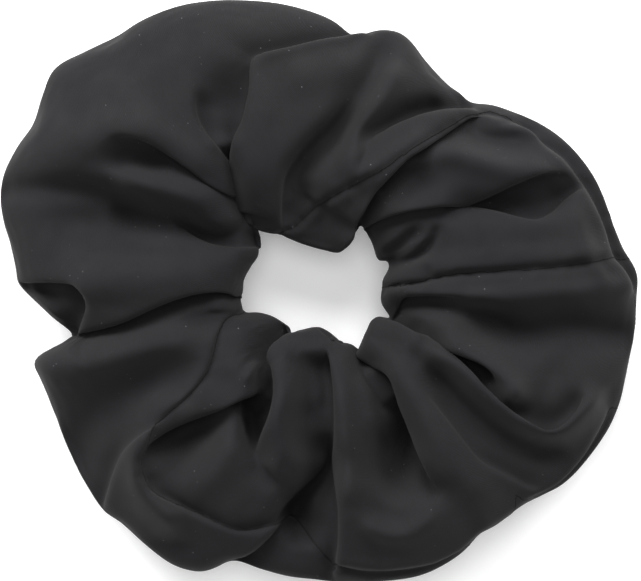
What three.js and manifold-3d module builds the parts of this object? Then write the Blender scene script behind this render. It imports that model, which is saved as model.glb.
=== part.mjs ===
// A large fabric scrunchie lying flat: a strip of cloth sewn into a tube, gathered on a ring of flat elastic.
// Millimetres, +Z up. The origin is under the middle of the ring, on the surface that it lies on.
import * as THREE from "three";
import { LoftGeometry } from "three/addons/geometries/LoftGeometry.js";
import { mergeVertices } from "three/addons/utils/BufferGeometryUtils.js";
import Module from "manifold-3d";

const wasm = await Module();
wasm.setup();

// Driving dimensions
const MID_HEIGHT = 18; // height of the ring's middle plane, where the elastic runs
const FABRIC_WALL = 0.8; // the cloth, drawn a little thick
const THREAD_RADIUS = 0.25;
const THREAD_SIDES = 6;
const CLEARANCE = 0.4; // between pieces that touch on the real thing
const CLOSING_SEAM_ANGLE = 5; // degrees from +X, where the two ends of the tube meet
const CLOSING_SEAM_GAP = 0.9; // between the two turned-in ends
const CLOSING_SEAM_SPAN = 14; // degrees of the ring that the closing seam's own sections take up
const LONG_SEAM_GAP = 0.9; // between the two turned-in long edges
const LONG_ALLOWANCE = 8; // how far the long edges are turned in
const CLOSING_ALLOWANCE = 5; // how far the ends are turned in
const STITCH_INSET = 3; // from a seam's fold to its line of stitches
const LONG_STITCH_INSET = 4.5; // the same on the long seam
const LONG_SEAM_STEPS = 72; // lengths of thread round the ring
const CLOSING_SEAM_STEPS = 28; // lengths of thread round a section
const OPEN_AT_RIM = 0.09; // share of a turn that the closing seam's thread leaves free for the long seam
const TURN_STEP = 0.004; // share of a turn that shows which way the cloth runs
const END_STEP = 0.05; // from a turned-in end's root to the tube's first whole section

// Plan outline: [degrees from +X, hole radius, rim radius], anticlockwise from above
const OUTLINE = [
  [10, 16.2, 77.0],
  [21, 18.4, 74.8],
  [33, 16.7, 71.2],
  [44, 17.9, 65.6],
  [54, 18.6, 61.0],
  [66, 11.4, 64.0],
  [80, 10.4, 66.6],
  [96, 10.9, 71.4],
  [111, 12.6, 77.4],
  [126, 17.2, 81.6],
  [139, 21.4, 86.0],
  [151, 18.0, 83.8],
  [163, 18.8, 83.6],
  [175, 19.1, 76.8],
  [188, 20.0, 64.6],
  [199, 16.4, 73.4],
  [213, 13.2, 74.8],
  [229, 12.4, 77.6],
  [245, 11.2, 77.6],
  [260, 9.7, 71.6],
  [276, 10.0, 73.0],
  [293, 15.6, 75.8],
  [308, 16.4, 73.4],
  [324, 15.3, 79.0],
  [341, 17.6, 80.0],
  [355, 15.6, 80.3],
];

// Pleats: the angle of each crest of gathered cloth, in degrees from +X
const PLEAT_CRESTS = [-2, 17, 40, 66, 92, 118, 142, 166, 190, 214, 238, 262, 284, 306, 332];
const TOP_RISE = 16.5; // mean height of the cloth above the middle plane
const TOP_PLEAT = 2.2; // how far a crest stands above that, and a valley below
const UNDER_DROP = 18; // the same, below the middle plane
const UNDER_PLEAT = 3; // crests that would reach below the surface lie flat on it

const SECTIONS = 78; // cross sections round the ring
const OUTER_STEPS = 21; // points of the cloth's outside in each section
const INNER_STEPS = 13; // points of its inside

// Elastic: a flat strip standing on edge, its ends lapped and sewn
const ELASTIC_RADIUS = 27;
const ELASTIC_WIDTH = 6;
const ELASTIC_THICKNESS = 1.2;
const ELASTIC_STEPS = 66; // lengths of the strip, lap included
const LAP_LENGTH = 14;
const LAP_GAP = 0.4;
const LAP_ANGLE = 150; // degrees from +X, the middle of the lap
const STITCH_PITCH = 2.8;
const STITCH_ROWS = [-1.4, 1.4, -1.4, 1.4]; // height of each needle hole above the strip's middle
const NEEDLE_HOLE_RADIUS = 0.7;
const STITCH_SLACK = 0.15; // how far the joint's thread bulges past its clearance
const STITCH_SHARES = [0, 0.2, 0.5, 0.8, 1]; // places along the thread's way through a needle hole
const JOINT_THREAD_STEPS = 54;

const radians = THREE.MathUtils.degToRad;

// A smooth closed curve through rows of [angle, ...values], read at any angle in degrees.
function roundTable(rows) {
  const angles = rows.map((row) => row[0]);
  const count = rows.length;
  const wrapped = (i, k) => rows[((i % count) + count) % count][k];
  return (angle, k) => {
    const turned = angles[0] + ((((angle - angles[0]) % 360) + 360) % 360);
    let i = count - 1;
    while (angles[i] > turned) i -= 1;
    const end = i + 1 < count ? angles[i + 1] : angles[0] + 360;
    const t = (turned - angles[i]) / (end - angles[i]);
    const [a, b, c, d] = [-1, 0, 1, 2].map((step) => wrapped(i + step, k));
    return (
      b +
      0.5 * t * (c - a + t * (2 * a - 5 * b + 4 * c - d + t * (3 * (b - c) + d - a)))
    );
  };
}

const outline = roundTable(OUTLINE);

// 1 on a pleat's crest and -1 in the valley between two crests.
function pleat(angle) {
  const first = PLEAT_CRESTS[0];
  const turned = first + ((((angle - first) % 360) + 360) % 360);
  let i = PLEAT_CRESTS.length - 1;
  while (PLEAT_CRESTS[i] > turned) i -= 1;
  const end = i + 1 < PLEAT_CRESTS.length ? PLEAT_CRESTS[i + 1] : first + 360;
  return Math.cos((2 * Math.PI * (turned - PLEAT_CRESTS[i])) / (end - PLEAT_CRESTS[i]));
}

// The cloth's outside at a ring angle. turn goes from 0 at the rim, over the top to 0.5 at the hole,
// and under the ring back to 1 at the rim. x is the distance from the ring's axis.
function clothOutside(angle, turn) {
  const a = 2 * Math.PI * turn;
  const hole = outline(angle, 1);
  const rim = outline(angle, 2);
  const crest = pleat(angle);
  const rise =
    turn < 0.5 ? TOP_RISE + TOP_PLEAT * crest : UNDER_DROP + UNDER_PLEAT * crest;
  const x = hole + (rim - hole) * 0.5 * (1 + Math.cos(a));
  return new THREE.Vector2(x, Math.max(0, MID_HEIGHT + rise * Math.sin(a)));
}

// The same surface moved into the tube by a depth.
function clothInside(angle, turn, depth) {
  const ahead = clothOutside(angle, turn + TURN_STEP);
  const behind = clothOutside(angle, turn - TURN_STEP);
  const along = ahead.sub(behind).normalize();
  const point = clothOutside(angle, turn);
  const height = point.y + depth * along.x;
  return new THREE.Vector2(point.x - depth * along.y, Math.max(depth, height));
}

// A point of the section at a ring angle, moved sideways out of that section's plane by a shift.
function placed(point, angle, shift = 0) {
  const a = radians(angle);
  const x = point.x * Math.cos(a) - shift * Math.sin(a);
  const y = point.x * Math.sin(a) + shift * Math.cos(a);
  return new THREE.Vector3(x, y, point.y);
}

// One closed C-shaped section of the cloth: the outside from lip to lip, one turned-in edge, the inside
// from rim to rim, and the other turned-in edge.
function clothSection(angle, depth, shift = 0) {
  const lip = LONG_SEAM_GAP / 2;
  const root = lip + FABRIC_WALL;
  const tip = outline(angle, 2) - LONG_ALLOWANCE;
  const lipTurn = lip / (2 * Math.PI * TOP_RISE);
  const rootTurn = (root + 0.35 * depth) / (2 * Math.PI * (TOP_RISE - depth));
  const points = [];
  for (let i = 0; i < OUTER_STEPS; i += 1) {
    const turn = lipTurn + ((1 - 2 * lipTurn) * i) / (OUTER_STEPS - 1);
    points.push(clothOutside(angle, turn));
  }
  points.push(new THREE.Vector2(tip, MID_HEIGHT - lip));
  points.push(new THREE.Vector2(tip, MID_HEIGHT - root));
  for (let i = INNER_STEPS - 1; i >= 0; i -= 1) {
    const turn = rootTurn + ((1 - 2 * rootTurn) * i) / (INNER_STEPS - 1);
    points.push(clothInside(angle, turn, depth));
  }
  points.push(new THREE.Vector2(tip, MID_HEIGHT + root));
  points.push(new THREE.Vector2(tip, MID_HEIGHT + lip));
  return points.reverse().map((point) => placed(point, angle, shift));
}

// The cloth tube, from one turned-in end round to the other.
function coverGeometry() {
  const fold = CLOSING_SEAM_GAP / 2;
  const root = fold + FABRIC_WALL;
  const turnedIn = (side) => [
    clothSection(CLOSING_SEAM_ANGLE, CLOSING_ALLOWANCE, side * fold),
    clothSection(CLOSING_SEAM_ANGLE, CLOSING_ALLOWANCE, side * root),
    clothSection(CLOSING_SEAM_ANGLE, FABRIC_WALL, side * (root + END_STEP)),
  ];
  const start = CLOSING_SEAM_ANGLE + CLOSING_SEAM_SPAN / 2;
  const sweep = 360 - CLOSING_SEAM_SPAN;
  const body = [];
  for (let i = 0; i <= SECTIONS; i += 1) {
    body.push(clothSection(start + (sweep * i) / SECTIONS, FABRIC_WALL));
  }
  const sections = [...turnedIn(1), ...body, ...turnedIn(-1).reverse()];
  return new LoftGeometry(sections, { capStart: true, capEnd: true });
}

// A thread laid along a list of points.
function threadGeometry(points, steps) {
  const section = new THREE.Shape();
  section.absarc(0, 0, THREAD_RADIUS, 0, 2 * Math.PI);
  return new THREE.ExtrudeGeometry(section, {
    steps,
    curveSegments: THREAD_SIDES / 2,
    extrudePath: new THREE.CatmullRomCurve3(points),
  });
}

// A line of stitches on the long seam's turned-in edges, above (side 1) or below (side -1) the pair.
function longSeamThread(side) {
  const offset = LONG_SEAM_GAP / 2 + FABRIC_WALL + CLEARANCE + THREAD_RADIUS;
  const from = CLOSING_SEAM_ANGLE + CLOSING_SEAM_SPAN / 2;
  const to = from + 360 - CLOSING_SEAM_SPAN;
  const points = [];
  for (let i = 0; i <= LONG_SEAM_STEPS; i += 1) {
    const angle = from + ((to - from) * i) / LONG_SEAM_STEPS;
    const radius = outline(angle, 2) - LONG_STITCH_INSET;
    points.push(placed(new THREE.Vector2(radius, MID_HEIGHT + side * offset), angle));
  }
  return threadGeometry(points, LONG_SEAM_STEPS);
}

// A line of stitches on the closing seam's turned-in ends, before (side -1) or after (side 1) the pair.
function closingSeamThread(side) {
  const offset = CLOSING_SEAM_GAP / 2 + FABRIC_WALL + CLEARANCE + THREAD_RADIUS;
  const points = [];
  for (let i = 0; i <= CLOSING_SEAM_STEPS; i += 1) {
    const turn = OPEN_AT_RIM + ((1 - 2 * OPEN_AT_RIM) * i) / CLOSING_SEAM_STEPS;
    const point = clothInside(CLOSING_SEAM_ANGLE, turn, STITCH_INSET);
    points.push(placed(point, CLOSING_SEAM_ANGLE, side * offset));
  }
  return threadGeometry(points, CLOSING_SEAM_STEPS);
}

// Angle round the elastic's centre for a length along it, in degrees.
const elasticDegrees = (length) => length / radians(ELASTIC_RADIUS);

// The elastic spirals by one thickness in a turn, so that its two ends lie one over the other.
function elasticRadius(turned) {
  return ELASTIC_RADIUS + ((ELASTIC_THICKNESS + LAP_GAP) * turned) / 360;
}

function elasticStrip() {
  const lap = elasticDegrees(LAP_LENGTH);
  const sections = [];
  for (let i = 0; i <= ELASTIC_STEPS; i += 1) {
    const turned = ((360 + lap) * i) / ELASTIC_STEPS;
    const inner = elasticRadius(turned) - ELASTIC_THICKNESS / 2;
    const outer = inner + ELASTIC_THICKNESS;
    const low = MID_HEIGHT - ELASTIC_WIDTH / 2;
    const high = MID_HEIGHT + ELASTIC_WIDTH / 2;
    const corners = [
      [inner, low],
      [outer, low],
      [outer, high],
      [inner, high],
    ];
    const angle = LAP_ANGLE - lap / 2 + turned;
    sections.push(corners.map(([x, z]) => placed(new THREE.Vector2(x, z), angle)).reverse());
  }
  return new LoftGeometry(sections, { capStart: true, capEnd: true });
}

function toSolid(geometry) {
  const bare = new THREE.BufferGeometry();
  bare.setAttribute("position", geometry.attributes.position);
  bare.setIndex(geometry.index);
  const merged = mergeVertices(bare, 1e-4);
  return new wasm.Manifold(
    new wasm.Mesh({
      numProp: 3,
      vertProperties: merged.attributes.position.array,
      triVerts: new Uint32Array(merged.index.array),
    }),
  );
}

function toGeometry(solid) {
  const mesh = solid.getMesh();
  const geometry = new THREE.BufferGeometry();
  const positions = new THREE.BufferAttribute(mesh.vertProperties, mesh.numProp);
  geometry.setAttribute("position", positions);
  geometry.setIndex(new THREE.BufferAttribute(mesh.triVerts, 1));
  return geometry.toNonIndexed();
}

// The needle holes through the lap, in order: [angle, height above the strip's middle].
function needleHoles() {
  const middle = (STITCH_ROWS.length - 1) / 2;
  return STITCH_ROWS.map((height, i) => [
    LAP_ANGLE + elasticDegrees((i - middle) * STITCH_PITCH),
    height,
  ]);
}

function elasticGeometry() {
  let strip = toSolid(elasticStrip());
  const reach = 4 * ELASTIC_THICKNESS;
  for (const [angle, height] of needleHoles()) {
    const hole = new THREE.CylinderGeometry(NEEDLE_HOLE_RADIUS, NEEDLE_HOLE_RADIUS, 2 * reach, 8);
    hole.rotateZ(Math.PI / 2);
    hole.translate(ELASTIC_RADIUS + ELASTIC_THICKNESS, 0, MID_HEIGHT + height);
    hole.rotateZ(radians(angle));
    strip = strip.subtract(toSolid(hole));
  }
  return toGeometry(strip);
}

// One thread that goes in and out through the needle holes and holds the lapped ends together.
function elasticJointThread() {
  const lap = elasticDegrees(LAP_LENGTH);
  const insideFace = elasticRadius(0) - ELASTIC_THICKNESS / 2;
  const outsideFace = elasticRadius(360 + lap) + ELASTIC_THICKNESS / 2;
  const stand = CLEARANCE + THREAD_RADIUS + STITCH_SLACK;
  const levels = [outsideFace + stand, insideFace - stand];
  const holes = needleHoles();
  const points = [];
  const at = (radius, angle, height) =>
    placed(new THREE.Vector2(radius, MID_HEIGHT + height), angle);
  holes.forEach(([angle, height], i) => {
    const [before, after] = i % 2 ? [levels[1], levels[0]] : levels;
    for (const share of STITCH_SHARES) {
      points.push(at(before + (after - before) * share, angle, height));
    }
    if (i + 1 < holes.length) {
      const [nextAngle, nextHeight] = holes[i + 1];
      points.push(at(after, (angle + nextAngle) / 2, (height + nextHeight) / 2));
    }
  });
  return threadGeometry(points, JOINT_THREAD_STEPS);
}

const MATERIALS = {
  satin: { color: 0x2b2b2d, roughness: 0.62, metalness: 0 },
  thread: { color: 0x1c1c1e, roughness: 0.7, metalness: 0 },
  elastic: { color: 0x232325, roughness: 0.85, metalness: 0 },
};

function named(name, geometry, look) {
  const mesh = new THREE.Mesh(geometry, new THREE.MeshStandardMaterial(MATERIALS[look]));
  mesh.name = name;
  return mesh;
}

const cover = new THREE.Group();
cover.add(named("cover", coverGeometry(), "satin"));
cover.add(named("long_seam_needle_thread", longSeamThread(1), "thread"));
cover.add(named("long_seam_bobbin_thread", longSeamThread(-1), "thread"));
cover.add(named("closing_seam_needle_thread", closingSeamThread(1), "thread"));
cover.add(named("closing_seam_bobbin_thread", closingSeamThread(-1), "thread"));

const elastic = new THREE.Group();
elastic.add(named("elastic_band", elasticGeometry(), "elastic"));
elastic.add(named("elastic_joint_thread", elasticJointThread(), "thread"));

const scrunchie = new THREE.Group();
scrunchie.add(cover, elastic);

export default scrunchie;
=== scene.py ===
"""A black satin-faced scrunchie lying flat, seen from straight above.

Lengths are in millimetres until a mesh is made.
"""

import math

import bpy
import numpy as np
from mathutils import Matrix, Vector


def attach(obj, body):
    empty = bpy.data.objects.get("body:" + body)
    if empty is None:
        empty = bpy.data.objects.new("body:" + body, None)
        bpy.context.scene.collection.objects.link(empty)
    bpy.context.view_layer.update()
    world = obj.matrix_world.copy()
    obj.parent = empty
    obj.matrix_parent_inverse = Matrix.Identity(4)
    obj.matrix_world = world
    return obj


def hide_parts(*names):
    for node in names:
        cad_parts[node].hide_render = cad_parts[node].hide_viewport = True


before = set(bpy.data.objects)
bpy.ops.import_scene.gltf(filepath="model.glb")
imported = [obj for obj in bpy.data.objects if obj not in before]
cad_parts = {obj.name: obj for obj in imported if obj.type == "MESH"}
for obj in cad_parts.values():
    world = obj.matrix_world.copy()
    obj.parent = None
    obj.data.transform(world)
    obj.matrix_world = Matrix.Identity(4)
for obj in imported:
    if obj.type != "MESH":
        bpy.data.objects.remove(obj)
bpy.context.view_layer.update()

MM = 0.001

# Cloth
CLOTH_THICKNESS = 0.45
COLUMNS = 640  # round the ring
TOP_ROWS = 128  # from the rim over the top to the hole
UNDER_ROWS = 56
MIDDLE = 18.0  # height of the ring's middle
RISE = 15.0  # from there up to the top
FALL = 17.6  # and down to the underside
ROUNDNESS = 2.3  # 2 is an ellipse, more is a squarer section
CROWN_FALL_AT_HOLE = 0.16  # how much lower the top is near the hole, as a share of RISE
CROWN_FALL_AT_RIM = 0.1
SAMPLE_SPACING = 0.25  # between the points of an outline's curve

# Room for the elastic inside the cloth
ELASTIC_RADIUS = 28.2
ELASTIC_TOP = 21.0
ELASTIC_HALF_ROOM = 3.5
ELASTIC_CLEARANCE = 1.8
ELASTIC_BLEND = 1.5  # how softly a fold is lifted there

# Folds drawn from above
SWELL_SCALE = 1.5  # multiplies every ridge in SWELLS
DIP_SCALE = 1.9  # multiplies every valley in SWELLS
BLUNT_END = 0.15  # what is left of a swell at its ends
LAP_EDGE = 0.3  # width of the step from the lower cloth to the upper
LAP_RISE_SCALE = 1.3
LAP_DROP_SCALE = 1.7
LAP_OVER_SCALE = 1.6
TROUGH_SHARE = 0.75  # a lap's trough is this much narrower than its crest
SEWN_HALF_WIDTH = 0.9
SHOULDER_RISE = 0.3
SHOULDER_AWAY = 1.6  # from a groove's line to its shoulders
SHOULDER_WIDTH = 1.3
PUCKER_RISE = 0.13
PUCKER_WIDTH = 2.6

# Folds at the rim, in the hole and underneath
COARSE_WAVES = 15
FINE_WAVES = 27
COARSE_DEPTH = 1.9
FINE_DEPTH = 0.8
COARSE_LIFT = 1.44  # underneath
FINE_LIFT = 0.54
UNDER_SEAM_DEPTH = 1.2
UNDER_SEAM_WIDTH = 0.6

# Outline of the rim from above, anticlockwise: (x, y)
RIM = [
    (80, 3), (79.5, -3), (79, -10), (77.2, -20), (75, -29), (72, -35.5), (66, -44), (61, -49),
    (56, -51.5), (51, -54), (44, -59), (39.7, -61.6), (36.7, -65.2), (33, -68), (27, -71), (20, -72.6),
    (8, -73.4), (0, -72.8), (-8, -71.9), (-15, -70.1), (-22, -68), (-27, -70), (-31, -70.7),
    (-37, -69), (-43, -64.8), (-50, -58.7), (-54.7, -55), (-58.9, -48.8), (-62.7, -41.5), (-66.6, -31.8),
    (-70.6, -22.1), (-72.2, -18.6), (-71.4, -16.3), (-66.5, -14), (-61.6, -12), (-67, -7), (-72.4, -2),
    (-75.9, 1.6), (-76.6, 5), (-78.2, 12.1), (-79.8, 18), (-80.4, 24), (-79.3, 30), (-76, 36.6),
    (-72.4, 42), (-69.8, 49.6), (-66.6, 56), (-58.4, 60.6), (-51.6, 64), (-45.2, 67.8), (-37.8, 70.8),
    (-30.6, 72.4), (-22.4, 73), (-12.2, 72.4), (-4.1, 70.7), (3, 68), (8.3, 64.3), (12, 65), (16, 65.6),
    (20, 64.8), (23, 62.4), (26.1, 58.4), (29.3, 54.8), (32.6, 51.6), (35.2, 49.8), (38, 47.4),
    (43, 46.8), (48, 45.2), (54.4, 42.6), (60.8, 38.3), (66.9, 31.5), (70.8, 24.4), (73.4, 17.2),
    (76.4, 10.2), (78.7, 6.6),
]

# Outline of the hole
HOLE = [
    (15.3, 0), (15.3, -3.3), (17.4, -6.9), (14.8, -6.4), (12.8, -7.5), (11.3, -10.3), (8.7, -15.6),
    (6, -13.6), (1.9, -10.1), (-1, -9.2), (-4.8, -9.8), (-7.4, -10.5), (-8.7, -8.4), (-12.4, -6.3),
    (-15.6, -5.5), (-19, -5.3), (-20, -2.3), (-19.4, 0), (-19, 3), (-17.4, 6), (-15.6, 9),
    (-16, 13), (-16.8, 16.2), (-13, 14.6), (-10, 14), (-5, 11.8), (0, 10.3), (4.6, 9.5),
    (6.8, 11.8), (9.2, 16), (9.8, 16.6), (11, 15.3), (12.8, 12.1), (14, 8.4), (15, 7.4),
    (16.6, 7.4), (17.1, 5.7), (15.7, 2.8),
]

# Sewing
STITCH_LENGTH = 2.5
THREAD_RADIUS = 0.13
THREAD_RISE = 0.09  # each thread's wave, to either side of the cloth's surface
THREAD_SINK = 0.8  # of its radius, how far a thread is drawn into the cloth
THREAD_SPACING = 0.4  # between the points of a thread's curve
SEAM_ANGLE = 5.0  # degrees, where the closing seam crosses the underside

# Cloth simulation
HOLD_ABOVE = 0.06  # how firmly the upper side is held in place, where 1 is not at all free
CLOTH_SPARE = 0.01  # the share by which the cloth is too big
SEAM_PULL = 0.02  # the share by which a seam draws it in
CLOTH_FRAMES = 16
CLOTH_MOVES_AT_MOST = 1.5

# Camera and lights, in metres
CAMERA_DISTANCE = 1.5
VIEW_WIDTH = 0.1613
SENSOR_WIDTH = 36  # mm
LIGHT_SIZE = 0.5
LIGHT_DISTANCE = 1.1
FLOOR_HALF_WIDTH = 3.0

# Soft folds, as (height, half width, points): a ridge where height is above 0 and a valley where it is
# below.
SWELLS = [
    # right: the bulge under the long seam, and its dimple
    (2.0, 2.8, [(24, 32), (32, 33.6), (40, 31.8), (47, 30.6), (54, 30.6), (61, 28)]),
    (-1.5, 2.6, [(34, 38.8), (40, 38.2), (46, 37.8), (54, 37)]),
    (-1.6, 3.4, [(16, 22.6), (24, 26), (32, 28.6)]),
    (-1.7, 1.6, [(26.5, 15.5), (23, 13.5), (19.5, 10.5), (15, 8)]),
    (-1.6, 1.4, [(29.7, 17), (28.2, 12.5), (25.5, 9.2), (22, 7.4), (16, 7)]),
    (-2.4, 3.8, [(30, 19.4), (38, 20.6), (45, 21), (52, 21.6), (58, 23), (66, 25.6)]),
    # both sides of the closing seam
    (1.0, 2.6, [(17, 3.6), (26, 5.8), (40, 7.6), (56, 8.8), (72, 10)]),
    (1.2, 5.0, [(58, 11), (72, 12)]),
    (1.6, 2.8, [(63, 23), (65, 14), (68, 7), (72.4, 0)]),
    (1.9, 3.3, [(14, 0.4), (26, -0.6), (40, -1.4), (56, -0.4), (82, 1)]),
    # the long valley below it
    (-1.8, 2.4, [(15, -6), (20.5, -3.2), (25, -2.8), (31, -3.4), (38, -4.8), (45, -7)]),
    (-3.0, 4.6, [(34, -6), (45, -9.8), (52, -10), (60, -8.8), (68, -10), (82, -12.6)]),
    (-1.4, 2.0, [(41, -4), (45, -6.5), (49, -8.5)]),
    (-1.2, 5.0, [(40, -12), (55, -14.5), (70, -15)]),
    (1.2, 3.0, [(20, -6.5), (26, -5), (32, -6), (37, -9)]),
    (3.2, 3.0, [(30, -9), (38, -14), (44, -18.6), (49, -24), (52.4, -29.6)]),
    (3.6, 3.2, [(44, -20), (48, -25), (51, -30)]),
    # U-shaped fold at the lower right
    (3.1, 3.0, [(20, -10.6), (32, -18.6), (41, -26.8), (48, -32.6), (56, -35.8), (61, -34.6), (66, -30),
                (71, -23)]),
    (-2.2, 3.4, [(25, -17.4), (31, -23.4), (37, -29.4), (42, -33.6), (48, -37.4), (55, -40), (63, -40.6)]),
    (-1.2, 4.0, [(59, -13), (58, -21), (57, -29)]),
    # lower right lobe and the deep valley beside it
    (2.2, 4.6, [(14, -12), (20, -19), (24.6, -27), (29.6, -36), (36, -46), (45, -55)]),
    (4.4, 10.0, [(32, -66), (43, -62), (53, -55)]),
    (-3.8, 3.6, [(7, -14), (13, -20), (17, -28), (20, -36), (20, -44)]),
    (-6.6, 5.4, [(16, -30), (18, -40), (18, -48), (16, -54)]),
    (-2.0, 2.0, [(25, -42), (28, -48), (30.5, -52)]),
    (1.8, 2.8, [(9, -56), (15, -60), (21, -60.5), (27, -57), (31, -53)]),
    # bottom: the long straight crest
    (1.2, 2.5, [(-8, -15), (-2, -15.6), (4, -15)]),
    (1.8, 2.6, [(3, -13), (5, -22), (6, -34), (6.3, -46), (8, -55)]),
    (-1.2, 2.2, [(-1, -17), (0.6, -24), (0.5, -33)]),
    (-5.0, 4.0, [(1.4, -34), (0.4, -42), (-2.4, -49), (-7, -54), (-13, -59)]),
    (-6.5, 4.6, [(-1, -50), (-4, -57), (-5.5, -66)]),
    # the round lobe next to it
    (2.4, 3.0, [(-6, -11.5), (-9, -17), (-9, -26), (-10.5, -34), (-9, -41), (-4, -43)]),
    (-1.4, 2.4, [(-2.5, -15), (-3, -25), (-4, -35)]),
    (-2.0, 3.6, [(-3, -26), (-3.4, -35), (-4, -44)]),
    (-4.2, 2.6, [(-15.4, -25), (-17.4, -30), (-18, -35), (-16.6, -42)]),
    # lower left: the loop of the long seam
    (-4.0, 4.8, [(-22, -30), (-28, -34), (-33, -37), (-38, -41), (-42, -45)]),
    (1.6, 4.2, [(-22, -31), (-23, -39), (-28, -47), (-36, -51)]),
    (3.4, 3.4, [(-34, -25), (-40.4, -29), (-44.6, -35), (-46, -42), (-45, -49.4), (-40, -55.6),
                (-32, -59.6)]),
    (-1.0, 3.0, [(-46, -60), (-38, -63), (-28, -64)]),
    (-2.9, 7.6, [(-30, -18), (-42, -23), (-51, -28), (-58, -36), (-60, -45), (-58, -56)]),
    (2.4, 4.4, [(-76, -21), (-60, -19), (-48, -16.4), (-38, -13.4), (-28, -12)]),
    (1.0, 3.4, [(-22, -12), (-22, -19), (-17, -22)]),
    (4.0, 2.2, [(-20, -19), (-16, -21.6)]),
    (2.0, 2.6, [(-31, -3.4), (-25, -3.4), (-20, -3)]),
    # left
    (2.8, 6.6, [(-68, 3), (-52, 4), (-36, 4.6), (-16, 4.4)]),
    (3.0, 2.0, [(-75, 0.6), (-69.4, -4), (-64.4, -8.6)]),
    (-0.7, 2.0, [(-60, 10.5), (-50, 9.8), (-42, 9), (-34, 9.6)]),
    (-1.5, 3.0, [(-86, 25), (-73, 25.4), (-64, 25.6), (-56, 24.6), (-49, 22), (-42, 18.6)]),
    (-2.4, 3.0, [(-54, 20.5), (-46, 18.4), (-38, 16), (-30, 13), (-20, 11)]),
    (-3.8, 8.0, [(-74, 18.6), (-56, 17), (-46, 15), (-34, 12.4)]),
    (-1.8, 1.8, [(-37, 20), (-32, 15.8), (-26, 13), (-21, 14.4), (-13, 16.4)]),
    (2.7, 3.4, [(-53, 28.4), (-46, 26.4), (-39, 25), (-32, 23), (-24, 20)]),
    (-2.6, 3.0, [(-56, 32), (-49, 33), (-43, 32), (-37, 29.2)]),
    (1.4, 3.4, [(-50, 41.5), (-42, 39.5), (-34, 35), (-26, 28)]),
    # top left billow and the dent beside the flap
    (3.4, 8.5, [(-80, 35), (-64, 36.6), (-52, 39), (-40, 43), (-33, 46)]),
    (-3.3, 5.2, [(-20, 58), (-22.2, 53), (-23.6, 48), (-23.6, 43), (-22, 36)]),
    (3.2, 1.8, [(-28, 36.6), (-24.5, 36.8), (-20, 36.4)]),
    (-3.0, 2.0, [(-22.5, 33.5), (-21, 29), (-19.8, 24), (-18, 18)]),
    # top flap
    (1.0, 5.0, [(-12, 54), (-14, 42), (-15, 30), (-14, 20)]),
    (1.3, 4.4, [(14, 57), (4, 55), (-6, 52.6), (-12, 50)]),
    (0.9, 1.2, [(12, 63.6), (8, 62.6), (0, 60.8), (-8, 58.9), (-15, 57)]),
    (-2.2, 3.8, [(19, 66), (12.5, 53), (8, 45), (2.5, 38), (-3, 32), (-6, 25)]),
    (-2.2, 2.6, [(-4, 34), (-6.6, 28.5), (-5, 25.6), (1, 23)]),
    (2.0, 2.8, [(21, 58), (16, 50), (11, 43), (8, 37), (8, 30), (13, 31.2), (20, 35), (29, 39.4)]),
    (-1.9, 2.2, [(32, 47), (26, 46.4), (20, 44.6), (13, 40.2), (8, 36)]),
    (-2.4, 6.5, [(-12, 19.5), (-4, 17.5), (4, 17), (12, 19)]),
]

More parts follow.
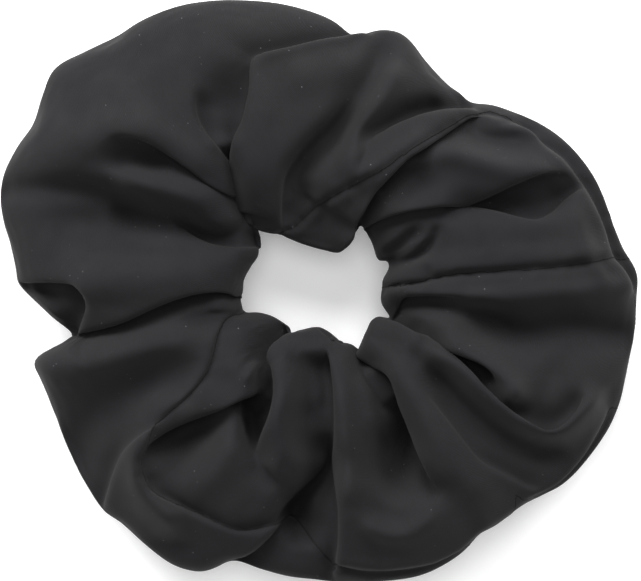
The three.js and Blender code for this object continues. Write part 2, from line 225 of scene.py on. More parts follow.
# Folds that lie over the cloth beside them, as (rise, drop, reach, lap, fade in, fade out, points). The upper
# cloth is on the left of the way that the points go.
LAPS = [
    # the top flap's two free edges
    (0.4, 2.0, 5, 1.4, 4, 0, [(14, 64.6), (8.3, 63.6), (0, 62), (-8, 60), (-14.5, 58.5), (-17, 57),
                              (-17.3, 50), (-19, 43), (-21.3, 36.5), (-21.4, 31), (-20, 25), (-18.6, 20),
                              (-15, 13)]),
    (0.1, 2.4, 4, 0.4, 8, 0, [(-19, 43), (-21.3, 36.5), (-21.4, 31), (-20, 25), (-18.6, 20), (-15, 13)]),
    # the right side's edge over the flap
    (0.3, 2.6, 6, 1.3, 4, 12, [(40, 46.8), (37, 46.4), (30, 45.3), (22, 42.7), (15, 39.5), (9, 35.8)]),
    # the strip below the long seam
    (0.3, 2.6, 5, 1.2, 0, 6, [(8, 14), (9.3, 18.5), (12.5, 24), (16.5, 28.6), (21, 32.4), (27, 36),
                              (33, 40), (38, 43.2), (42.5, 45)]),
    (0.5, 1.4, 4, 0.3, 2, 6, [(13.5, 25.2), (18, 28.4), (22, 30), (29, 30.8)]),
    # the long pocket on the right
    (1.0, 2.0, 5, 1.0, 3, 10, [(10, 14.4), (16, 17.8), (22, 19.7), (28, 20.7), (35, 21.6), (41, 23.5),
                               (47, 26), (53, 28.5), (58, 29.8), (64, 29)]),
    (0.8, 2.0, 7, 0.8, 4, 8, [(67, 26.5), (62, 23.5), (58, 19.6), (54, 17.7), (49, 18.6), (44, 19.8),
                              (37, 20.4), (30, 20)]),
    # the roll that carries the closing seam
    (0.8, 1.8, 5, 0.8, 4, 10, [(18, -8), (19.6, -4.4), (21, -1.6), (25, -1.1), (31, -1.2), (38, -2)]),
    # small pocket on the lower right
    (2.0, 4.0, 5, 1.0, 4, 3, [(23, -10.6), (27, -12), (32, -13.4), (37, -15.3), (41, -17.4), (43.4, -20),
                              (43.6, -22.6)]),
    # the lobe that laps over it
    (2.1, 1.7, 5, 1.2, 7, 5, [(66, -24), (63.6, -29.5), (60, -33.4), (56, -34.7), (51, -32.2), (46, -28.7),
                              (42, -25), (38, -21.2), (33, -16.8), (28, -13.2), (23, -10.3), (19, -8.2),
                              (15, -6)]),
    (0.2, 1.0, 7, 0.5, 8, 14, [(58, -50), (52, -48.8), (47, -46.3), (42, -43.6), (39, -41.4), (35, -36.5),
                              (30, -30), (26, -25), (23.6, -20)]),
    # beside the deep valley
    (1.2, 4.0, 6, 1.2, 0, 8, [(7.5, -15.3), (13, -18.8), (17, -21), (18.8, -25), (20, -29), (22.4, -35),
                              (24, -39.5), (26.5, -45), (30, -52)]),
    # the long straight crest
    (1.2, 2.4, 6, 0.7, 6, 0, [(0.6, -14), (2.2, -20), (3, -27), (3.1, -35), (2.8, -42), (3.4, -48),
                              (4.3, -55), (4.4, -62), (3.6, -69)]),
    # the round lobe
    (2.6, 4.4, 6, 1.2, 0, 6, [(-7, -9.5), (-9, -11.8), (-12.2, -14.3), (-13.2, -17), (-12.2, -19.6),
                              (-11.8, -25), (-12.8, -31), (-15, -37), (-16.6, -41)]),
    (1.2, 1.2, 5, 0.5, 3, 5, [(-17, -38), (-15.6, -42), (-13, -44.8), (-10.3, -46.9), (-7.6, -46)]),
    (1.0, 3.0, 6, 0.5, 5, 2, [(-14, -44.5), (-17.8, -39), (-19.6, -34), (-20.2, -27)]),
    (1.2, 3.4, 7, 0.6, 5, 5, [(-13, -57.5), (-9, -54), (-5.5, -50.2), (-2, -47), (0.8, -43), (1.2, -38.5)]),
    # the lower edge of the cloth above the two pockets
    (1.4, 2.4, 5, 1.2, 8, 3, [(-45, -44), (-42, -38.5), (-37, -34.4), (-31, -31.7), (-25, -29.4),
                              (-20, -27), (-15, -25.4)]),
    # the loop at the lower left, over the side panel and over the bottom
    (0.3, 1.6, 5, 0.7, 12, 0, [(-33, -27), (-40, -31.6), (-45.5, -35.6), (-49.6, -40.4), (-52.2, -46.5),
                               (-55, -56)]),
    (0.8, 3.6, 6, 0.9, 5, 5, [(-24, -68.2), (-18, -66.2), (-13.4, -62.8), (-9.5, -58.8), (-6.5, -56)]),
    # the upper roll over the lower panel
    (0.2, 3.6, 7, 1.3, 3, 5, [(-64, -13), (-61, -11.3), (-56, -10), (-50, -8), (-44, -5.2), (-38, -2.5),
                              (-32, -0.5), (-26, 0.3), (-22, -0.6), (-18, -4)]),
    # the open end of that roll, at the rim
    (0.4, 3.4, 9, 1.3, 5, 3, [(-78, 1.8), (-70, 2.4), (-65, 2.4), (-61.2, 1.8), (-58.8, -1), (-58.6, -4),
                              (-60.4, -8), (-62, -11.6)]),
    # the spoon-shaped fold
    (0.2, 1.4, 5, 1.0, 12, 0, [(-55, 34.5), (-52, 37.6), (-48, 38), (-43, 36.6), (-38, 33.6), (-33, 30),
                              (-29, 26.6), (-25, 24.1), (-19, 21.5)]),
    (0.3, 1.2, 4, 0.5, 4, 8, [(-13, 10.2), (-20, 10.6), (-24, 11), (-29, 12.2), (-34, 14.8), (-39, 19)]),
    # the billow's edge beside the dent
    (0.1, 2.2, 5, 0.6, 0, 6, [(-18.5, 19), (-21.5, 28), (-24.5, 33), (-27, 37), (-30, 41.5), (-31, 46),
                              (-30, 51)]),
    # the front cloth's edge over the strip at the rim
    (0.4, 2.2, 4, 0.7, 4, 6, [(80, -2), (76.6, 4.8), (73.4, 8.5), (71, 16.5), (68.4, 22.5), (65, 27.6),
                              (61, 33.4), (55.5, 37.3), (53, 40.4), (47, 43.6)]),
    (0.3, 1.0, 2.4, 0.5, 4, 4, [(50, -52.5), (56, -50.4), (61, -48), (66, -42), (70, -35.5), (73.5, -29)]),
    (0.3, 1.0, 2.4, 0.5, 4, 4, [(3, -68.4), (10, -69.7), (18, -69.8), (27, -69), (33, -66.6), (38, -64)]),
    # the seam's own lip round the loop
    (0.5, 0.6, 3, 0.6, 3, 2, [(-44, -47), (-44.6, -43), (-43.8, -39), (-42, -34), (-39, -30), (-33, -25.5),
                              (-28.7, -20.5), (-27, -16), (-25.5, -11), (-23.5, -7), (-20, -5.8)]),
    (0.4, 1.4, 3, 0.6, 3, 3, [(-5, -59), (-8, -57), (-13, -58.6), (-19, -60), (-24, -59), (-30, -56),
                              (-37, -53), (-42.4, -50), (-44.4, -45)]),
    # creases inside the flap
    (0.4, 3.2, 8, 0.5, 8, 12, [(-9, 13.5), (-9.4, 21), (-8.9, 28), (-6, 33.6), (-1.5, 38.6), (3, 43),
                               (8, 49)]),
    (0.4, 0.9, 4, 0.4, 3, 4, [(-7.8, 28), (-6.6, 25), (-3, 23.8), (0, 22), (5, 18.7), (9.5, 15)]),
]

# Lines of sewing, in the stretches that are seen from above
LONG_SEAM_TOP = [
    (-11, 13), (-9, 15), (-6, 16.3), (-3, 19.4), (0, 21.8), (5, 25), (10, 28), (15, 31), (20, 34.4),
    (26, 38), (32, 41.4), (37, 44), (42, 45), (47, 43.6), (53, 40.4), (55.5, 37.3), (61, 33.4),
    (65, 27.6), (68.4, 22.5), (71, 16.5), (73.4, 8.5), (76.6, 4.8), (79.6, -1),
]
LONG_SEAM_BOTTOM = [
    (-18, -4.6), (-20, -5.8), (-23.5, -7), (-25.5, -11), (-27, -16), (-28.7, -20.5), (-33, -25.5),
    (-39, -30), (-42, -34), (-43.8, -39), (-44.6, -43), (-44, -47), (-42.4, -50), (-37, -53), (-30, -56),
    (-24, -59), (-19, -60), (-13, -58.6), (-8, -57), (-5, -59), (-1, -64), (3, -68.4), (10, -69.7),
    (18, -69.8), (27, -69), (33, -66.6), (38, -64),
]
LONG_SEAM_RIM = [(50, -52.5), (56, -50.4), (61, -48), (66, -42), (70, -35.5), (73.5, -29)]
CLOSING_SEAM = [
    (14, 0.4), (19, 1.7), (24, 2.5), (30, 3.9), (40, 4.6), (50, 5.2), (60, 6), (68, 7), (73.5, 8),
    (82, 8),
]

# Sewing and fine creases, as (depth, half width, points)
GROOVES = [
    (1.1, 0.45, LONG_SEAM_TOP),
    (1.1, 0.45, LONG_SEAM_BOTTOM),
    (0.8, 0.45, LONG_SEAM_RIM),
    (1.8, 0.45, CLOSING_SEAM),
    (1.0, 0.9, [(-7.2, -57.5), (-6.6, -62), (-6.4, -66)]),
    (0.5, 0.6, [(6, -15.5), (9.5, -20)]),
    (0.5, 0.8, [(-36, -6.6), (-28, -5.8), (-19, -5.2)]),
    (0.8, 0.8, [(-16.5, -59.5), (-15, -62)]),
]


def smooth_step(low, high, value):
    t = np.clip((value - low) / (high - low), 0, 1)
    return t * t * (3 - 2 * t)


def curve_through(points, spacing, closed=False):
    """A Catmull-Rom curve through points, sampled about every spacing."""
    p = np.array(points, float)
    if closed:
        p = np.vstack([p[-1], p, p[0], p[1]])
    else:
        p = np.vstack([2 * p[0] - p[1], p, 2 * p[-1] - p[-2]])
    samples = []
    for a, b, c, d in zip(p[:-3], p[1:-2], p[2:-1], p[3:]):
        count = max(1, int(round(np.linalg.norm(c - b) / spacing)))
        t = (np.arange(count) / count)[:, None]
        samples.append(
            b + 0.5 * t * (c - a + t * (2 * a - 5 * b + 4 * c - d + t * (3 * (b - c) + d - a)))
        )
    if not closed:
        samples.append(p[-2:-1])
    return np.vstack(samples)


def radius_at(outline, angles):
    """The outline's distance from the origin at each angle."""
    curve = curve_through(outline, SAMPLE_SPACING, closed=True)
    around = np.arctan2(curve[:, 1], curve[:, 0]) % (2 * math.pi)
    distance = np.hypot(curve[:, 0], curve[:, 1])
    order = np.argsort(around)
    around, distance = around[order], distance[order]
    found = np.interp(angles, around, distance, period=2 * math.pi)
    for _ in range(2):
        found = (np.roll(found, 1) + 2 * found + np.roll(found, -1)) / 4
    return found


def section_turns():
    """Where each row of the mesh lies round the section: 0 at the rim, 0.5 at the hole, over the top."""
    top = np.linspace(0, 0.5, TOP_ROWS, endpoint=False)
    under = np.linspace(0.5, 1, UNDER_ROWS, endpoint=False)
    return np.concatenate([top, under])


def power(value, exponent):
    return np.sign(value) * np.abs(value) ** exponent


def plain_ring():
    """The ring before its folds, as rows x columns x 3, and each row's turn."""
    angles = np.arange(COLUMNS) * 2 * math.pi / COLUMNS
    rim = radius_at(RIM, angles)
    hole = radius_at(HOLE, angles)
    turn = section_turns()[:, None]
    a = 2 * math.pi * turn
    across = 0.5 + 0.5 * power(np.cos(a), 2 / ROUNDNESS)
    up = power(np.sin(a), 2 / ROUNDNESS)
    fall_at_hole = CROWN_FALL_AT_HOLE * smooth_step(0.35, 0.0, across)
    fall_at_rim = CROWN_FALL_AT_RIM * smooth_step(0.5, 1.0, across)
    crown = 1 - fall_at_hole - fall_at_rim
    height = np.where(up > 0, RISE * up * crown, FALL * up)
    radius = hole + (rim - hole) * across
    x = radius * np.cos(angles)
    y = radius * np.sin(angles)
    z = MIDDLE + height + 0 * x
    return np.stack([x, y, z], axis=2), turn


class Path:
    """A curve on the plan, which tells how far each point is from it and on which side."""

    def __init__(self, points):
        self.points = curve_through(points, 1.0)
        self.steps = np.diff(self.points, axis=0)
        self.lengths = np.linalg.norm(self.steps, axis=1)
        self.starts = np.concatenate([[0], np.cumsum(self.lengths)])

    def near(self, xy, reach):
        low = self.points.min(0) - reach
        high = self.points.max(0) + reach
        return np.where(((xy > low) & (xy < high)).all(1))[0]

    def measure(self, xy):
        """Distance, side (1 on the left), way along, and the left-hand normal at the nearest place."""
        from_start = xy[:, None, :] - self.points[None, :-1, :]
        share = (from_start * self.steps).sum(2) / self.lengths**2
        share = np.clip(share, 0, 1)
        away = from_start - share[:, :, None] * self.steps
        square = (away**2).sum(2)
        best = square.argmin(1)
        row = np.arange(len(xy))
        step = self.steps[best] / self.lengths[best][:, None]
        offset = away[row, best]
        side = np.sign(step[:, 0] * offset[:, 1] - step[:, 1] * offset[:, 0])
        along = self.starts[best] + share[row, best] * self.lengths[best]
        normal = np.stack([-step[:, 1], step[:, 0]], axis=1)
        return np.sqrt(square[row, best]), side, along, normal

    def fade(self, along, fade_in, fade_out):
        end = self.starts[-1]
        weight = np.ones_like(along)
        if fade_in:
            weight *= smooth_step(0, fade_in, along)
        if fade_out:
            weight *= smooth_step(0, fade_out, end - along)
        return weight


def add_swells(plan, shift):
    for height, width, points in SWELLS:
        path = Path(points)
        reach = 3 * width
        near = path.near(plan, reach)
        distance, _, along, _ = path.measure(plan[near])
        bump = np.exp(-((distance / width) ** 2))
        ends = np.minimum(along, path.starts[-1] - along)
        blunt = BLUNT_END + (1 - BLUNT_END) * smooth_step(0, 2.2 * width, ends)
        scale = SWELL_SCALE if height > 0 else DIP_SCALE
        shift[near, 2] += scale * height * bump * blunt


def add_laps(plan, shift):
    for rise, drop, reach, lap, fade_in, fade_out, points in LAPS:
        path = Path(points)
        near = path.near(plan, 2.5 * reach)
        distance, side, along, normal = path.measure(plan[near])
        weight = path.fade(along, fade_in, fade_out)
        signed = np.clip(side * distance / LAP_EDGE, -30, 30)
        upper = 1 / (1 + np.exp(-signed))
        crest = np.exp(-((distance / reach) ** 2))
        trough = np.exp(-((distance / (TROUGH_SHARE * reach)) ** 2))
        lift = upper * LAP_RISE_SCALE * rise * crest - (1 - upper) * LAP_DROP_SCALE * drop * trough
        over = LAP_OVER_SCALE * lap * np.exp(-distance / (3 * lap + 0.5))
        shift[near, 2] += lift * weight
        shift[near, :2] -= normal * ((2 * upper - 1) * over * weight)[:, None]


def sewn_points(plan):
    """1 on the seams and 0 elsewhere."""
    sewn = np.zeros(len(plan))
    for points in (LONG_SEAM_TOP, LONG_SEAM_BOTTOM, LONG_SEAM_RIM, CLOSING_SEAM):
        path = Path(points)
        near = path.near(plan, 2)
        distance = path.measure(plan[near])[0]
        sewn[near] = np.maximum(sewn[near], distance < SEWN_HALF_WIDTH)
    return sewn


def add_grooves(plan, shift):
    """Sharp creases, with a rounded and slightly puckered shoulder on each side."""
    for depth, width, points in GROOVES:
        path = Path(points)
        near = path.near(plan, 9)
        distance, side, along, _ = path.measure(plan[near])
        weight = path.fade(along, 2, 2)
        wander = 1 + 0.25 * np.sin(along * 1.7) + 0.2 * np.sin(along * 3.1 + 1)
        crease = -np.exp(-distance / width) * wander
        shoulder = SHOULDER_RISE * np.exp(-(((distance - SHOULDER_AWAY) / SHOULDER_WIDTH) ** 2))
        pucker = PUCKER_RISE * np.sin(1.3 * along + 1.2 * np.sin(0.37 * along) + 1.5 * side)
        shift[near, 2] += depth * weight * (crease + shoulder + pucker * np.exp(-distance / PUCKER_WIDTH))


def folded_ring():
    """The ring with its folds, as rows x columns x 3, and which of its points are on a seam."""
    ring, turn = plain_ring()
    rows, columns, _ = ring.shape
    above = smooth_step(0.02, 0.42, np.sin(2 * math.pi * turn)) + np.zeros((rows, columns))
    flat = ring.reshape(-1, 3)
    top = np.where(above.ravel() > 0)[0]
    plan = flat[top, :2]
    shift = np.zeros((len(top), 3))
    add_swells(plan, shift)
    add_laps(plan, shift)
    add_grooves(plan, shift)
    sewn = np.zeros(rows * columns)
    sewn[top] = sewn_points(plan)
    flat[top] += shift * above.ravel()[top, None]
    clear_elastic(flat, top)
    ring = flat.reshape(rows, columns, 3)
    add_side_folds(ring, turn)
    ring[:, :, 2] = np.maximum(ring[:, :, 2], CLOTH_THICKNESS)
    return ring, sewn.reshape(rows, columns)


def clear_elastic(flat, top):
    """Lifts the cloth over the elastic, which fills the bottom of the deepest folds."""
    from_elastic = np.abs(np.hypot(flat[top, 0], flat[top, 1]) - ELASTIC_RADIUS)
    past = np.maximum(from_elastic - ELASTIC_HALF_ROOM, 0)
    lowest = ELASTIC_TOP + ELASTIC_CLEARANCE - 0.5 * past**2
    over = flat[top, 2] - lowest
    flat[top, 2] = lowest + 0.5 * (over + np.sqrt(over**2 + ELASTIC_BLEND))


def wave_round(angles, count, phase):
    """A smooth wave with about count crests round the ring, unevenly spaced."""
    bend = 0.5 * np.sin(2 * angles + phase) + 0.35 * np.sin(3 * angles + 2.1 * phase)
    return np.cos(count * angles + bend * 1.6 + phase)


def add_side_folds(ring, turn):
    """Folds that run down the rim and under the ring, where nothing is drawn from above."""
    rows, columns, _ = ring.shape
    angles = np.arange(columns) * 2 * math.pi / columns
    below = smooth_step(0.1, -0.5, np.sin(2 * math.pi * turn))
    slant = 0.9 * turn
    coarse = wave_round(angles + slant, COARSE_WAVES, 0.7)
    fine = wave_round(angles - 0.6 * slant, FINE_WAVES, 2.3)
    inward = (COARSE_DEPTH * (1 - coarse) + FINE_DEPTH * (1 - fine)) * below
    radius = np.hypot(ring[:, :, 0], ring[:, :, 1])
    outer = smooth_step(0.35, 0.9, np.cos(2 * math.pi * turn))
    inner = smooth_step(0.35, 0.9, -np.cos(2 * math.pi * turn))
    scale = 1 - (outer * inward - inner * 0.5 * inward) / radius
    ring[:, :, 0] *= scale
    ring[:, :, 1] *= scale
    under = smooth_step(-0.35, -0.9, np.sin(2 * math.pi * turn))
    turned_from_seam = (np.degrees(angles) - SEAM_ANGLE + 180) % 360 - 180
    from_seam = np.abs(np.radians(turned_from_seam)) * radius
    seam = UNDER_SEAM_DEPTH * np.exp(-from_seam / UNDER_SEAM_WIDTH)
    ring[:, :, 2] += under * (COARSE_LIFT * (1 + coarse) + FINE_LIFT * (1 + fine) + seam)


def to_neighbours(ring):
    """From each point to the middle of its four neighbours."""
    rows = np.roll(ring, 1, 0) + np.roll(ring, -1, 0)
    columns = np.roll(ring, 1, 1) + np.roll(ring, -1, 1)
    return (rows + columns) / 4 - ring


def normals(ring):
    """Outward unit normals."""
    along_column = np.roll(ring, -1, 0) - np.roll(ring, 1, 0)
    along_row = np.roll(ring, -1, 1) - np.roll(ring, 1, 1)
    normal = np.cross(along_row, along_column)
    return normal / np.maximum(np.linalg.norm(normal, axis=2, keepdims=True), 1e-9)


def even_out(ring, rounds):
    """Slides the points along the surface, so that steep walls get their share of them."""
    for _ in range(rounds):
        move = to_neighbours(ring)
        normal = normals(ring)
        ring = ring + 0.6 * (move - (move * normal).sum(2, keepdims=True) * normal)
    return ring


def soften(ring, rounds):
    for _ in range(rounds):
        ring = ring + 0.5 * to_neighbours(ring)
    return ring


def mesh_from_rings(name, ring):
    """A closed tube mesh from rows x columns of points in millimetres."""
    rows, columns, _ = ring.shape
    index = np.arange(rows * columns).reshape(rows, columns)
    next_row = np.roll(index, -1, 0)
    next_column = np.roll(index, -1, 1)
    corner = np.roll(next_row, -1, 1)
    quads = np.stack([index, next_column, corner, next_row], axis=2).reshape(-1, 4)
    mesh = bpy.data.meshes.new(name)
    mesh.from_pydata((ring.reshape(-1, 3) * MM).tolist(), [], quads.tolist())
    mesh.update()
    piece = bpy.data.objects.new(name, mesh)
    bpy.context.scene.collection.objects.link(piece)
    for polygon in mesh.polygons:
        polygon.use_smooth = True
    return piece


def cloth_relaxed(ring, sewn_here):
    """Lets every second point settle as cloth a little too big for its seams. Returns the whole ring."""
    step = 2
    blow_up = 10  # Cloth is steadier on a mesh of everyday size
    coarse = ring[::step, ::step]
    rows, columns, _ = coarse.shape
    dummy = mesh_from_rings("cloth_dummy", coarse * blow_up)
    group = dummy.vertex_groups.new(name="held")
    turn = np.repeat(section_turns()[::step], columns)
    held = np.where(np.sin(2 * math.pi * turn) > 0.05, HOLD_ABOVE, 1.0)
    for index, weight in enumerate(held):
        group.add([index], weight, "REPLACE")
    sewn = dummy.vertex_groups.new(name="sewn")
    for index in np.where(sewn_here[::step, ::step].ravel() > 0)[0]:
        sewn.add([int(index)], 1.0, "REPLACE")
    cloth = dummy.modifiers.new("cloth", "CLOTH")
    cloth.settings.quality = 5
    cloth.settings.mass = 0.3
    cloth.settings.tension_stiffness = 15
    cloth.settings.compression_stiffness = 15
    cloth.settings.shear_stiffness = 5
    cloth.settings.bending_stiffness = 25
    cloth.settings.vertex_group_mass = "held"
    cloth.settings.vertex_group_shrink = "sewn"
    cloth.settings.shrink_min = -CLOTH_SPARE
    cloth.settings.shrink_max = SEAM_PULL
    cloth.settings.effector_weights.gravity = 0
    cloth.collision_settings.use_collision = False
    cloth.point_cache.frame_end = CLOTH_FRAMES
    for frame_number in range(1, CLOTH_FRAMES + 1):
        bpy.context.scene.frame_set(frame_number)
    settled = dummy.evaluated_get(bpy.context.evaluated_depsgraph_get()).data
    places = np.empty(rows * columns * 3)
    settled.vertices.foreach_get("co", places)
    places = places.reshape(rows, columns, 3) / MM / blow_up
    bpy.context.scene.frame_set(1)
    bpy.data.objects.remove(dummy)
    move = places - coarse
    length = np.linalg.norm(move, axis=2, keepdims=True)
    move *= np.minimum(1, CLOTH_MOVES_AT_MOST / np.maximum(length, 1e-9))
    move = spread_back(spread_back(move, 0), 1)
    return ring + move


def spread_back(move, axis):
    """Doubles the points along an axis of a closed ring, each new one halfway between its neighbours."""
    between = (move + np.roll(move, -1, axis)) / 2
    pair = np.stack([move, between], axis=axis + 1)
    shape = list(move.shape)
    shape[axis] *= 2
    return pair.reshape(shape)


def rows_and_columns(points):
    """Where a curve on the plan lies on the ring's top, in rows and columns that need not be whole."""
    plan = curve_through(points, 0.5)
    angles = np.unwrap(np.arctan2(plan[:, 1], plan[:, 0]))
    rim = radius_at(RIM, angles % (2 * math.pi))
    hole = radius_at(HOLE, angles % (2 * math.pi))
    across = (np.hypot(plan[:, 0], plan[:, 1]) - hole) / (rim - hole)
    cosine = power(np.clip(2 * across - 1, -1, 1), ROUNDNESS / 2)
    row = np.arccos(cosine) / math.pi * TOP_ROWS
    return np.stack([row, angles * COLUMNS / (2 * math.pi)], axis=1)


def long_seam_route():
    """Once round the ring, clockwise, dipping out of sight at the rim twice and in the hole once."""
    top = rows_and_columns(LONG_SEAM_TOP)
    rim = rows_and_columns(LONG_SEAM_RIM[::-1])
    bottom = rows_and_columns(LONG_SEAM_BOTTOM[::-1])
    full_turn = np.array([0, COLUMNS])
    while rim[0, 1] > top[-1, 1]:
        rim -= full_turn
    while bottom[0, 1] > rim[-1, 1]:
        bottom -= full_turn
    below_rim = -6
    past_hole = TOP_ROWS + 8
    first_dip = [below_rim, (top[-1, 1] + rim[0, 1]) / 2]
    second_dip = [below_rim, (rim[-1, 1] + bottom[0, 1]) / 2]
    last = top[0] - full_turn
    in_hole = [past_hole, (bottom[-1, 1] + last[1]) / 2]
    return np.vstack([top, first_dip, rim, second_dip, bottom, in_hole, last])


def closing_seam_route():
    """Once round the section: over the top from the hole to the rim, and straight back under the ring."""
    over = rows_and_columns(CLOSING_SEAM)
    under = np.array([[row, SEAM_ANGLE * COLUMNS / 360] for row in (-10, -UNDER_ROWS + 10)])
    last = over[0] - np.array([TOP_ROWS + UNDER_ROWS, 0])
    return np.vstack([over, under, last])


def points_on(ring, route):
    """The ring's points along a route of rows and columns, at even distances."""
    steps = np.abs(np.diff(route, axis=0)).max(1)
    stretches = []
    for start, end, step in zip(route[:-1], route[1:], steps):
        share = np.linspace(0, 1, int(step * 2) + 1, endpoint=False)[:, None]
        stretches.append(start + (end - start) * share)
    dense = np.vstack(stretches)
    rows, columns, _ = ring.shape
    corner = np.floor(dense).astype(int)
    row_share, column_share = (dense - corner).T[:, :, None]
    this_row, next_row = corner[:, 0] % rows, (corner[:, 0] + 1) % rows
    this_column, next_column = corner[:, 1] % columns, (corner[:, 1] + 1) % columns
    near = ring[this_row, this_column] * (1 - column_share) + ring[this_row, next_column] * column_share
    far = ring[next_row, this_column] * (1 - column_share) + ring[next_row, next_column] * column_share
    points = near * (1 - row_share) + far * row_share
    lengths = np.linalg.norm(np.diff(points, axis=0), axis=1)
    along = np.concatenate([[0], np.cumsum(lengths)])
    even = np.arange(0, along[-1], THREAD_SPACING)
    return np.stack([np.interp(even, along, points[:, axis]) for axis in range(3)], axis=1)


def mesh_of_curve(name, data):
    """A piece with the curve's shape as a mesh."""
    line = bpy.data.objects.new(name + "_line", data)
    bpy.context.scene.collection.objects.link(line)
    depsgraph = bpy.context.evaluated_depsgraph_get()
    mesh = bpy.data.meshes.new_from_object(line.evaluated_get(depsgraph))
    bpy.data.objects.remove(line)
    piece = bpy.data.objects.new(name, mesh)
    bpy.context.scene.collection.objects.link(piece)
    return piece


def make_thread(name, cad_node, cover, points, phase):
    """A thread that dips in and out of the cloth along a seam, given as points near the cloth."""
    data = bpy.data.curves.new(name, "CURVE")
    data.dimensions = "3D"
    data.bevel_depth = THREAD_RADIUS * MM
    data.bevel_resolution = 1
    spline = data.splines.new("POLY")
    spline.points.add(len(points) - 1)
    spline.use_cyclic_u = True
    stitches = max(1, round(len(points) * THREAD_SPACING / STITCH_LENGTH))
    for index, point in enumerate(points):
        _, on_cloth, normal, _ = cover.closest_point_on_mesh(Vector(point) * MM)
        wave = math.cos(2 * math.pi * stitches * index / len(points) + phase)
        place = on_cloth + normal * (THREAD_RISE * wave - THREAD_SINK * THREAD_RADIUS) * MM
        spline.points[index].co = (*place, 1)
    piece = mesh_of_curve(name, data)
    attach(piece, "cover")
    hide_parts(cad_node)
    return piece


def make_threads(cover, ring):
    """The needle's and the bobbin's thread of each seam. cover is the cloth before it has thickness."""
    threads = []
    for seam, route in (("long_seam", long_seam_route()), ("closing_seam", closing_seam_route())):
        points = points_on(ring, route)
        for side, phase in (("needle", 0), ("bobbin", math.pi)):
            name = f"{seam}_{side}_stitches"
            threads.append(make_thread(name, f"{seam}_{side}_thread", cover, points, phase))
    return threads


def apply_modifiers(piece):
    bpy.context.view_layer.objects.active = piece
    for modifier in list(piece.modifiers):
        bpy.ops.object.modifier_apply(modifier=modifier.name)


def make_cover():
    """The cover and its threads."""
    folded, sewn = folded_ring()
    ring = even_out(soften(folded, 2), 12)
    ring = cloth_relaxed(ring, sewn)
    ring = soften(ring, 2)
    cover = mesh_from_rings("cover_cloth", ring)
    threads = make_threads(cover, folded)
    shell = cover.modifiers.new("cloth thickness", "SOLIDIFY")
    shell.thickness = CLOTH_THICKNESS * MM
    shell.offset = -1
    apply_modifiers(cover)
    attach(cover, "cover")
    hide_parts("cover")
    return cover, threads


# Materials


def new_material(name):
    material = bpy.data.materials.new(name)
    material.use_nodes = True
    nodes = material.node_tree.nodes
    return material, nodes, material.node_tree.links, nodes["Principled BSDF"]


def object_coordinates(nodes, links, scale, rotation=(0, 0, 0)):
    source = nodes.new("ShaderNodeTexCoord")
    mapping = nodes.new("ShaderNodeMapping")
    mapping.inputs["Scale"].default_value = scale
    mapping.inputs["Rotation"].default_value = rotation
    links.new(source.outputs["Object"], mapping.inputs["Vector"])
    return mapping.outputs["Vector"]


def noise(nodes, links, vector, scale, detail, roughness=0.5):
    texture = nodes.new("ShaderNodeTexNoise")
    texture.inputs["Scale"].default_value = scale
    texture.inputs["Detail"].default_value = detail
    texture.inputs["Roughness"].default_value = roughness
    links.new(vector, texture.inputs["Vector"])
    return texture.outputs["Fac"]


def ramp(nodes, links, factor, stops):
    node = nodes.new("ShaderNodeValToRGB")
    elements = node.color_ramp.elements
    while len(elements) < len(stops):
        elements.new(0.5)
    for element, (position, colour) in zip(elements, stops):
        element.position = position
        element.color = (*colour, 1) if hasattr(colour, "__len__") else (colour, colour, colour, 1)
    links.new(factor, node.inputs["Fac"])
    return node.outputs["Color"]


def bump(nodes, links, height, distance, strength, normal=None):
    node = nodes.new("ShaderNodeBump")
    node.inputs["Distance"].default_value = distance
    node.inputs["Strength"].default_value = strength
    links.new(height, node.inputs["Height"])
    if normal:
        links.new(normal, node.inputs["Normal"])
    return node.outputs["Normal"]


def with_specks(nodes, links, colour, specks, where):
    """Pale specks of lint on a colour, in some places only."""
    amount = nodes.new("ShaderNodeMath")
    amount.operation = "MULTIPLY"
    links.new(specks, amount.inputs[0])
    links.new(where, amount.inputs[1])
    mix = nodes.new("ShaderNodeMixRGB")
    mix.inputs["Color2"].default_value = (0.2, 0.2, 0.21, 1)
    links.new(amount.outputs["Value"], mix.inputs["Fac"])
    links.new(colour, mix.inputs["Color1"])
    return mix.outputs["Color"]


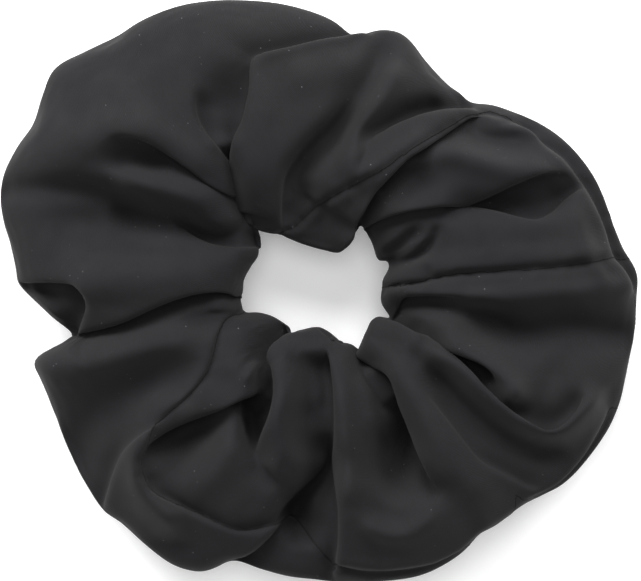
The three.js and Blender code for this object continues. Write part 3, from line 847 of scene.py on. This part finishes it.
def cloth_material():
    material, nodes, links, shader = new_material("satin_faced_cloth")
    place = object_coordinates(nodes, links, (1, 1, 1))
    patches = noise(nodes, links, place, 28, 3)
    colour = ramp(
        nodes, links, patches, [(0.3, (0.0078, 0.0078, 0.0090)), (0.7, (0.0100, 0.0096, 0.0104))]
    )
    lint = nodes.new("ShaderNodeTexVoronoi")
    lint.inputs["Scale"].default_value = 420
    links.new(place, lint.inputs["Vector"])
    specks = ramp(nodes, links, lint.outputs["Distance"], [(0.0, 1.0), (0.08, 0.0)])
    where = ramp(nodes, links, noise(nodes, links, place, 90, 2), [(0.5, 0.0), (0.62, 0.7)])
    links.new(with_specks(nodes, links, colour, specks, where), shader.inputs["Base Color"])
    wear = noise(nodes, links, place, 160, 4)
    rough = ramp(nodes, links, wear, [(0.3, 0.78), (0.7, 0.9)])
    links.new(rough, shader.inputs["Roughness"])
    shader.inputs["Specular IOR Level"].default_value = 0.12
    shader.inputs["Sheen Weight"].default_value = 0.03
    shader.inputs["Sheen Roughness"].default_value = 0.6
    shader.inputs["Sheen Tint"].default_value = (1.0, 0.96, 0.95, 1)
    twill = nodes.new("ShaderNodeTexWave")
    twill.wave_profile = "SIN"
    twill.bands_direction = "DIAGONAL"
    twill.inputs["Scale"].default_value = 1100
    twill.inputs["Distortion"].default_value = 3
    twill.inputs["Detail"].default_value = 2
    links.new(place, twill.inputs["Vector"])
    fibre = noise(nodes, links, place, 2600, 2)
    fine = bump(nodes, links, twill.outputs["Fac"], 0.00006, 0.35)
    finer = bump(nodes, links, fibre, 0.00005, 0.5, fine)
    links.new(finer, shader.inputs["Normal"])
    return material


def thread_material():
    material, nodes, links, shader = new_material("sewing_thread")
    place = object_coordinates(nodes, links, (1, 1, 1))
    colour = ramp(nodes, links, noise(nodes, links, place, 900, 2), [(0.3, 0.0015), (0.7, 0.005)])
    links.new(colour, shader.inputs["Base Color"])
    shader.inputs["Roughness"].default_value = 0.85
    shader.inputs["Specular IOR Level"].default_value = 0.1
    twist = noise(nodes, links, place, 3000, 2)
    links.new(bump(nodes, links, twist, 0.0001, 0.6), shader.inputs["Normal"])
    return material


def elastic_material():
    material, nodes, links, shader = new_material("braided_elastic")
    place = object_coordinates(nodes, links, (1, 1, 1))
    colour = ramp(nodes, links, noise(nodes, links, place, 700, 3), [(0.3, 0.012), (0.7, 0.03)])
    links.new(colour, shader.inputs["Base Color"])
    shader.inputs["Roughness"].default_value = 0.8
    ribs = nodes.new("ShaderNodeTexWave")
    ribs.bands_direction = "Z"
    ribs.inputs["Scale"].default_value = 420
    links.new(place, ribs.inputs["Vector"])
    links.new(bump(nodes, links, ribs.outputs["Fac"], 0.0003, 0.8), shader.inputs["Normal"])
    return material


def dress(piece, material):
    piece.data.materials.clear()
    piece.data.materials.append(material)


# Camera, lights and floor


def make_camera():
    data = bpy.data.cameras.new("camera")
    camera = bpy.data.objects.new("camera", data)
    bpy.context.scene.collection.objects.link(camera)
    camera.location = (0, 0, CAMERA_DISTANCE + MIDDLE * MM)
    data.sensor_width = SENSOR_WIDTH
    data.lens = SENSOR_WIDTH * CAMERA_DISTANCE / VIEW_WIDTH
    data.clip_end = 10
    bpy.context.scene.camera = camera


def area_light(name, turn, height, power_watts):
    """A round soft light. turn is its direction from +X and height its angle above the floor, in degrees."""
    level = LIGHT_DISTANCE * math.cos(math.radians(height))
    place = (
        level * math.cos(math.radians(turn)),
        level * math.sin(math.radians(turn)),
        MIDDLE * MM + LIGHT_DISTANCE * math.sin(math.radians(height)),
    )
    data = bpy.data.lights.new(name, "AREA")
    data.shape = "DISK"
    data.size = LIGHT_SIZE
    data.energy = power_watts
    light = bpy.data.objects.new(name, data)
    light.location = place
    aim = Vector((0, 0, MIDDLE * MM)) - Vector(place)
    light.rotation_euler = aim.to_track_quat("-Z", "Y").to_euler()
    bpy.context.scene.collection.objects.link(light)


def make_lights():
    area_light("back_left_softbox", 128, 30, 12.0)
    area_light("back_softbox", 90, 46, 9.5)
    area_light("back_right_softbox", 50, 34, 6.5)
    area_light("right_softbox", 0, 25, 0.8)
    area_light("front_left_softbox", 215, 25, 2.0)
    area_light("top_softbox", 90, 85, 4.0)
    world = bpy.data.worlds.new("studio")
    world.use_nodes = True
    background = world.node_tree.nodes["Background"]
    background.inputs["Color"].default_value = (1, 1, 1, 1)
    background.inputs["Strength"].default_value = 0.47
    bpy.context.scene.world = world
    bpy.context.scene.view_settings.view_transform = "Standard"


def make_floor():
    mesh = bpy.data.meshes.new("floor")
    half = FLOOR_HALF_WIDTH
    corners = [(-half, -half, 0), (half, -half, 0), (half, half, 0), (-half, half, 0)]
    mesh.from_pydata(corners, [], [(0, 1, 2, 3)])
    floor = bpy.data.objects.new("floor", mesh)
    bpy.context.scene.collection.objects.link(floor)
    material, _, _, shader = new_material("pale_floor")
    shader.inputs["Base Color"].default_value = (0.93, 0.93, 0.93, 1)
    shader.inputs["Roughness"].default_value = 0.9
    shader.inputs["Emission Color"].default_value = (1, 1, 1, 1)
    shader.inputs["Emission Strength"].default_value = 0.2
    dress(floor, material)


make_camera()
make_lights()
make_floor()
cover, threads = make_cover()
dress(cover, cloth_material())
for piece in [*threads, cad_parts["elastic_joint_thread"]]:
    dress(piece, thread_material())
dress(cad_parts["elastic_band"], elastic_material())
